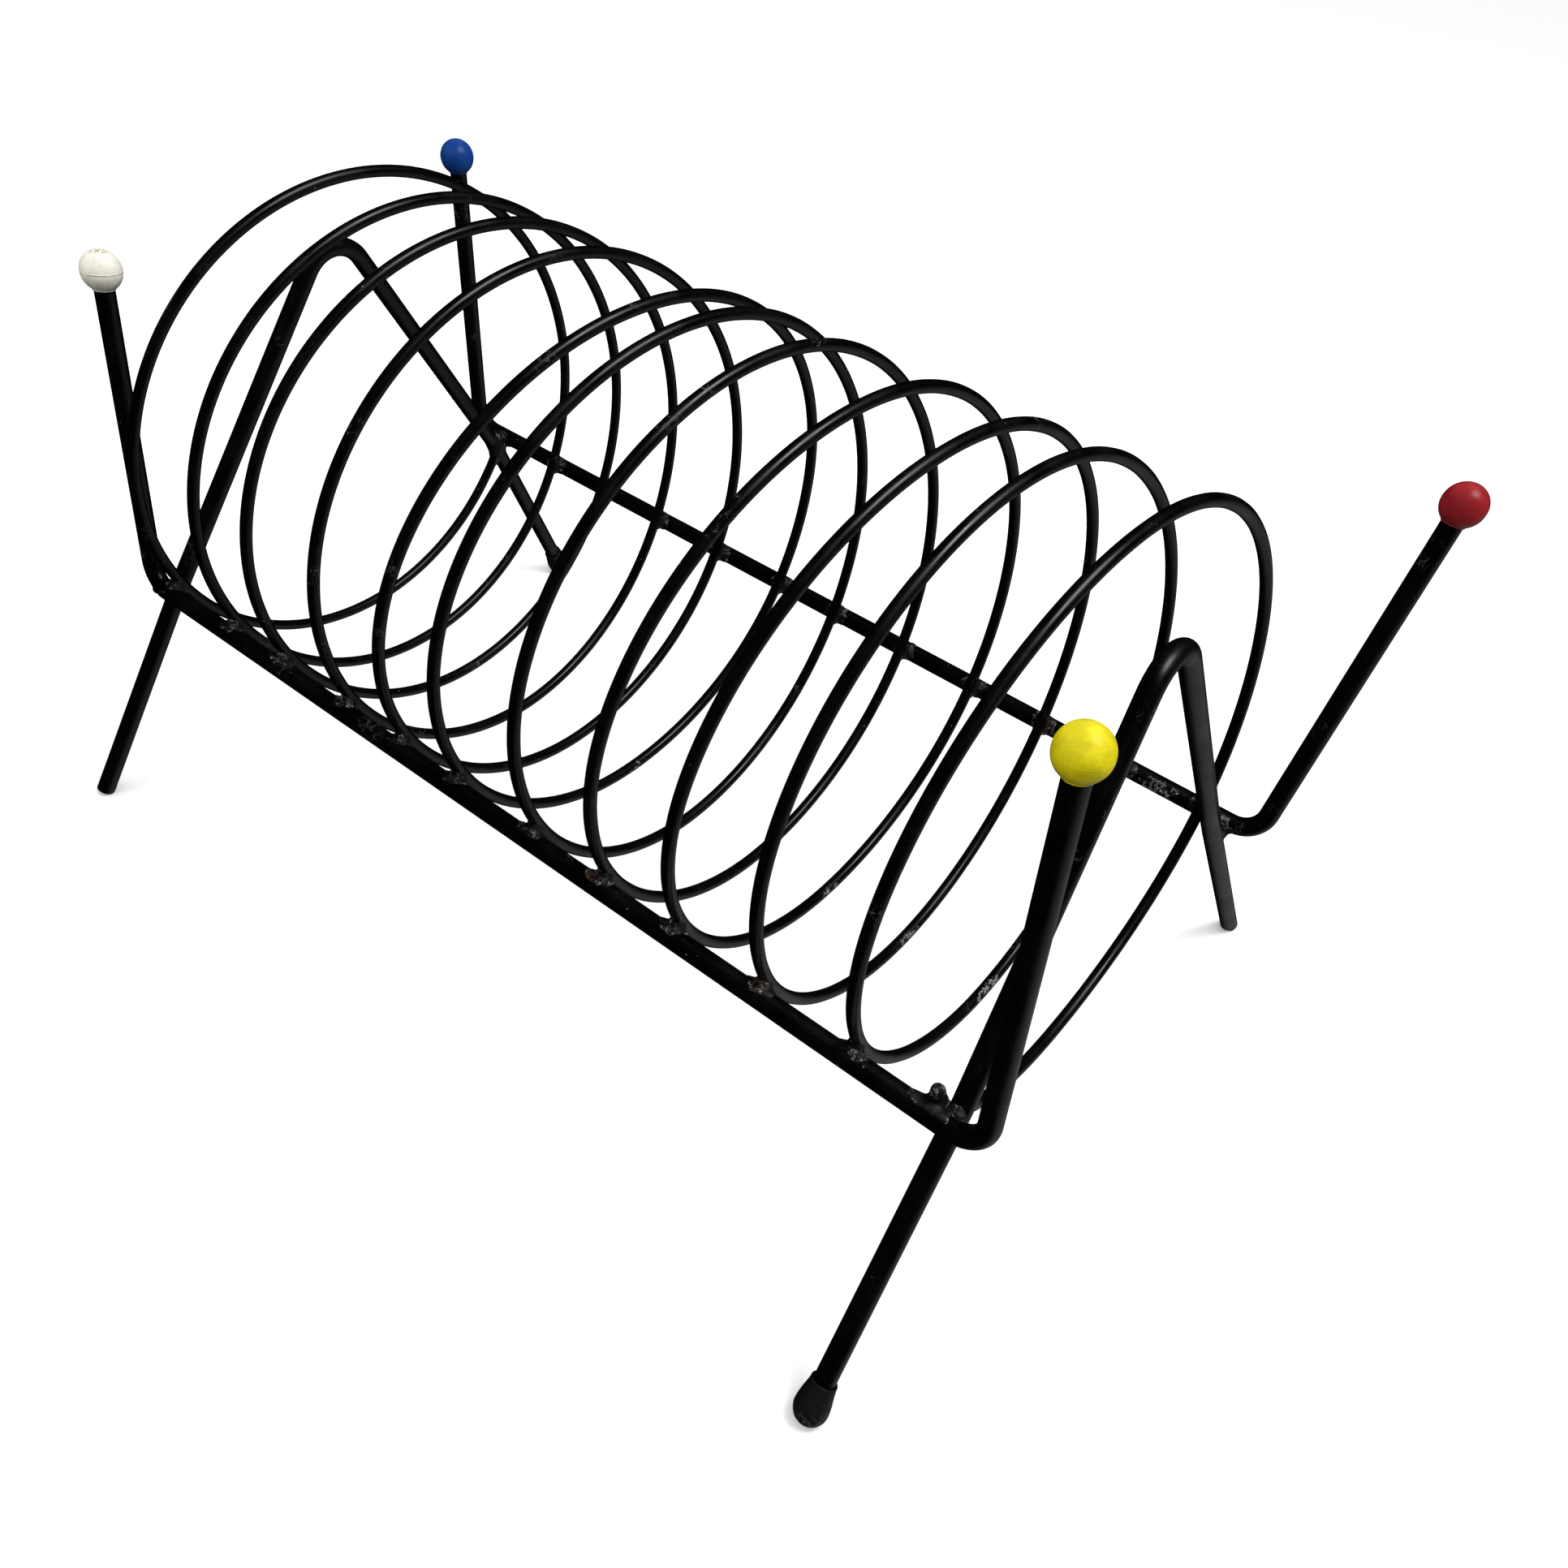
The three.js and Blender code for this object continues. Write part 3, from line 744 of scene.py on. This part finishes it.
def make_wire_welds(name, material):
    """The beads where the wire crosses one rail."""
    left, right = rail_corners(name)
    last = len(WELDS[name]) - 1
    for i, x in enumerate(WELDS[name]):
        rail_centre = rail_at(name, x)
        travel = PLACES[4 * i + (0 if name == "rear" else 2), 0]
        before, here, after = coil_line(np.array([travel - 1.0, travel, travel + 1.0]))
        inward = unit(np.array([x, 0, COIL_HEIGHT]) - rail_centre)
        crossed = (rail_centre, unit(right - left), ROD_RADIUS)
        wire = (here, unit(after - before), WIRE_RADIUS)
        bead = WIRE_BEAD
        if name == "front" and i == last:
            bead = END_BEAD
        if name == "rear" and i == 0:
            # The wire starts below this crossing, where a leg passes, so its bead hangs
            # down the leg to meet it.
            knee, _, down = leg(LEGS["left"], "rear")
            start = coil_line(np.array([travel + WIRE_START]))[0]
            rail_centre = rail_centre + HANG * (start - rail_centre)
            crossed = (knee, down, ROD_RADIUS)
            bead = HANGING_BEAD
        seed = 1.0 + 3.7 * i + len(name)
        node = f"{name}_weld_{i + 1:02d}"
        make_weld(node, rail_centre, inward, [crossed, wire], bead, seed, material)


def make_leg_welds(name, material):
    """The beads where one pair of legs crosses the rails."""
    for end, rail in RAILS.items():
        left, right = rail_corners(end)
        knee, _, down = leg(LEGS[name], end)
        rail_centre = rail_at(end, knee[0])
        inward = np.array([0, -rail["side"] * math.cos(LEG_LEAN), -math.sin(LEG_LEAN)])
        bars = [(rail_centre, unit(right - left), ROD_RADIUS), (knee, down, ROD_RADIUS)]
        seed = 50.0 + knee[0] * 0.1
        make_weld(f"{name}_{end}_leg_weld", rail_centre, inward, bars, LEG_BEAD, seed, material)


# ---- Camera, light and floor ----

CAMERA_AZIMUTH = math.radians(34.01)
CAMERA_ELEVATION = math.radians(40.62)
CAMERA_ROLL = math.radians(7.5)
CAMERA_AIM = Vector((50.7, -10.1, 77.0)) * MM
CAMERA_DISTANCE = 0.397         # metres, as are the lamps' distances and sizes


def make_camera():
    azimuth, elevation, roll = CAMERA_AZIMUTH, CAMERA_ELEVATION, CAMERA_ROLL
    level_forward = Vector((-math.sin(azimuth), math.cos(azimuth), 0))
    forward = level_forward * math.cos(elevation) - Vector((0, 0, math.sin(elevation)))
    level = forward.cross(Vector((0, 0, 1))).normalized()
    upright = level.cross(forward)
    right = level * math.cos(roll) + upright * math.sin(roll)
    up = right.cross(forward)
    camera = bpy.data.objects.new("camera", bpy.data.cameras.new("camera"))
    turned = Matrix((right, up, -forward)).transposed().to_4x4()
    camera.matrix_world = Matrix.Translation(CAMERA_AIM - forward * CAMERA_DISTANCE) @ turned
    camera.data.lens = 30.0
    camera.data.sensor_width = 36.0
    camera.data.shift_x = 0.0088
    camera.data.shift_y = -0.0027
    camera.data.clip_start = 0.01
    bpy.context.scene.collection.objects.link(camera)
    bpy.context.scene.camera = camera


def make_lamp(name, direction, distance, size, power, mirrored=True):
    """A square lamp facing the rack. Its power is in watts, and glossy things may not see it."""
    lamp = bpy.data.objects.new(name, bpy.data.lights.new(name, "AREA"))
    lamp.visible_glossy = mirrored
    lamp.data.size = size
    lamp.data.energy = power
    direction = Vector(direction).normalized()
    lamp.location = direction * distance + Vector((0, 0, 0.1))
    lamp.rotation_euler = direction.to_track_quat("Z", "Y").to_euler()
    bpy.context.scene.collection.objects.link(lamp)


def make_world():
    """A white room to the eye and a dim one to anything glossy, as black cloths round a
    black object make it, with one broad pale patch low on the right."""
    world = bpy.data.worlds.new("studio")
    world.use_nodes = True
    bpy.context.scene.world = world
    s = Nodes(world.node_tree)
    toward = s.add("ShaderNodeTexCoord").outputs["Generated"]
    split = s.add("ShaderNodeSeparateXYZ")
    s.put(split.inputs[0], toward)
    soft_light = s.span(split.outputs["Z"], -0.25, 0.25, start=WORLD_BELOW, end=WORLD_ABOVE)
    patch = s.add("ShaderNodeVectorMath", operation="DOT_PRODUCT")
    s.put(patch.inputs[0], toward)
    patch.inputs[1].default_value = Vector(PATCH_DIRECTION).normalized()
    mirrored = s.span(patch.outputs["Value"], 0.60, 1.0, start=MIRRORED_DIM, end=MIRRORED_PATCH)
    rays = s.add("ShaderNodeLightPath").outputs
    strength = s.add("ShaderNodeMix", data_type="FLOAT")
    s.put(strength.inputs[0], rays["Is Glossy Ray"])
    s.put(strength.inputs[2], soft_light)
    s.put(strength.inputs[3], mirrored)
    seen = s.add("ShaderNodeMix", data_type="FLOAT")
    s.put(seen.inputs[0], rays["Is Camera Ray"])
    s.put(seen.inputs[2], strength.outputs[0])
    seen.inputs[3].default_value = 1.0
    background = s.tree.nodes["Background"]
    background.inputs["Color"].default_value = (1, 1, 1, 1)
    s.put(background.inputs["Strength"], seen.outputs[0])
    world.cycles.sampling_method = "NONE"


def make_floor():
    s = Surface("floor_paper")
    tone = s.blend(s.noise(30, detail=3), (0.975, 0.975, 0.975), (0.99, 0.99, 0.99))
    paper = s.finish(Base_Color=tone, Roughness=0.9, Specular_IOR_Level=0.1)
    reach = 20.0
    corners = [(-reach, -reach, 0), (reach, -reach, 0), (reach, reach, 0), (-reach, reach, 0)]
    mesh = bpy.data.meshes.new("floor")
    mesh.from_pydata(corners, [], [(0, 1, 2, 3)])
    mesh.materials.append(paper)
    floor = bpy.data.objects.new("floor", mesh)
    floor.visible_diffuse = False
    floor.visible_glossy = False
    bpy.context.scene.collection.objects.link(floor)


# ---- The rack ----

make_camera()
make_world()
make_lamp("ceiling_light", (0.44, 0.16, 0.88), distance=1.3, size=0.5, power=9)
make_lamp("soft_fill", (-0.5, -0.5, 0.8), distance=1.5, size=1.2, power=3, mirrored=False)
make_floor()
bpy.context.scene.view_settings.view_transform = "Standard"

black = enamel()
make_coil(black)
for rail_name in RAILS:
    make_rail(rail_name, black)
for legs_name in LEGS:
    make_legs(legs_name, black)

# The dirt weight of each ball also sets how much painted shade darkens its lower half.
BALL_LOOKS = {
    "white": {"colour": (0.88, 0.86, 0.75), "shadow": (0.74, 0.72, 0.62),
              "grime_and_shade": 0.95, "roughness": 0.45},
    "yellow": {"colour": (0.76, 0.66, 0.003), "shadow": (0.56, 0.48, 0.002),
               "grime_and_shade": 0.10, "roughness": 0.34},
    "blue": {"colour": (0.0008, 0.050, 0.275), "shadow": (0.0006, 0.038, 0.21),
             "grime_and_shade": 0.06, "roughness": 0.32},
    "red": {"colour": (0.30, 0.010, 0.016), "shadow": (0.23, 0.007, 0.011),
            "grime_and_shade": 0.10, "roughness": 0.30},
}
for rail_name, rail in RAILS.items():
    for end, ball_name in enumerate(rail["balls"]):
        ridge = SEAM_RIDGE if ball_name == "white" else FAINT_RIDGE
        plastic = ball_plastic(ball_name, **BALL_LOOKS[ball_name])
        make_ball(rail_name, end, ball_name, ridge, plastic)

foot_rubber = rubber()
for legs_name in LEGS:
    make_foot(legs_name, foot_rubber)

bead_enamel = weld_enamel()
for rail_name in RAILS:
    make_wire_welds(rail_name, bead_enamel)
for legs_name in LEGS:
    make_leg_welds(legs_name, bead_enamel)
